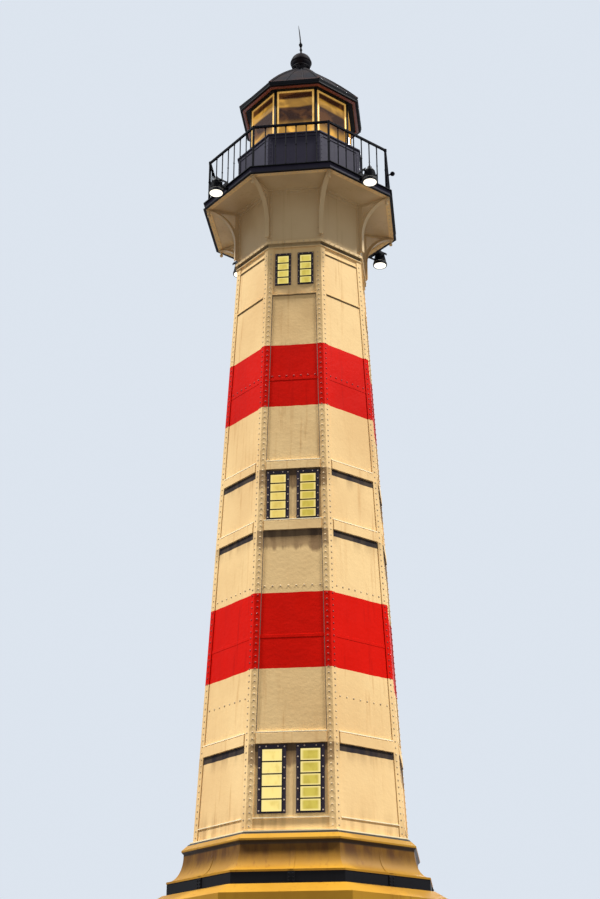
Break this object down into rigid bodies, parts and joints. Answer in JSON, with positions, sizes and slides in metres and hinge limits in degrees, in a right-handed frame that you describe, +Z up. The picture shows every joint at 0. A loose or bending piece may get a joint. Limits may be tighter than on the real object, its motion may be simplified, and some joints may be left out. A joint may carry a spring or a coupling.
{
  "type": "octagonal iron harbour lighthouse",
  "caption": "Tapering octagonal iron tower on a moulded base, with paired windows, a bracketed gallery, floodlights and a glazed lantern under a ball-topped roof.",
  "frame": {"origin": "on the ground at the tower's axis", "axes": "+Z up; -Y out of the front face, which holds the door and the windows"},
  "size_m": [4.32, 4.32, 20.4176],
  "materials": {
    "black_paint": "gloss paint",
    "brass": "polished",
    "cream_paint": "satin paint on riveted iron",
    "dark_copper": "weathered sheet",
    "door_paint": "painted",
    "lamp_lens": "lit",
    "lantern_glass": "clear",
    "ochre_paint": "satin paint on iron castings",
    "slate_paint": "satin paint",
    "stone": "dressed",
    "timber": "boards",
    "window_glass": "lit from inside"
  },
  "bodies": {
    "root": {"ball_ventilator": "dark_copper", "base_cavetto": "ochre_paint", "base_fascia": "black_paint", "base_lower_band": "ochre_paint", "base_top_band": "ochre_paint", "corner_angles": "cream_paint", "door_frame": "black_paint", "door_leaf": "door_paint", "finial": "dark_copper", "floodlight_lenses": "lamp_lens", "floodlights": "black_paint", "foundation_ring": "stone", "gallery_brackets": "cream_paint", "gallery_deck": "cream_paint", "gallery_edge": "black_paint", "gallery_posts": "black_paint", "gallery_railings": "black_paint", "ground_floor": "stone", "head_ledges": "cream_paint", "lantern_base_wall": "slate_paint", "lantern_eaves": "dark_copper", "lantern_glass": "lantern_glass", "lantern_mullions": "black_paint", "lantern_pane_frames": "brass", "lantern_roof": "dark_copper", "lantern_sill": "slate_paint", "lower_belts": "cream_paint", "lower_floor": "timber", "lower_ledges": "cream_paint", "lower_window_frames": "black_paint", "lower_window_glass": "window_glass", "middle_belts": "cream_paint", "middle_floor": "timber", "middle_window_frames": "black_paint", "middle_window_glass": "window_glass", "pedestal_back_wall": "ochre_paint", "pedestal_diagonal_walls": "ochre_paint", "pedestal_front_wall": "ochre_paint", "pedestal_side_walls": "ochre_paint", "shaft_back_wall": "cream_paint", "shaft_diagonal_walls": "cream_paint", "shaft_front_wall": "cream_paint", "shaft_side_walls": "cream_paint", "string_course": "cream_paint", "upper_floor": "timber", "upper_ledges": "cream_paint", "upper_window_frames": "black_paint", "upper_window_glass": "window_glass", "watch_room_diagonal_walls": "cream_paint", "watch_room_main_walls": "cream_paint"}
  },
  "joints": []
}
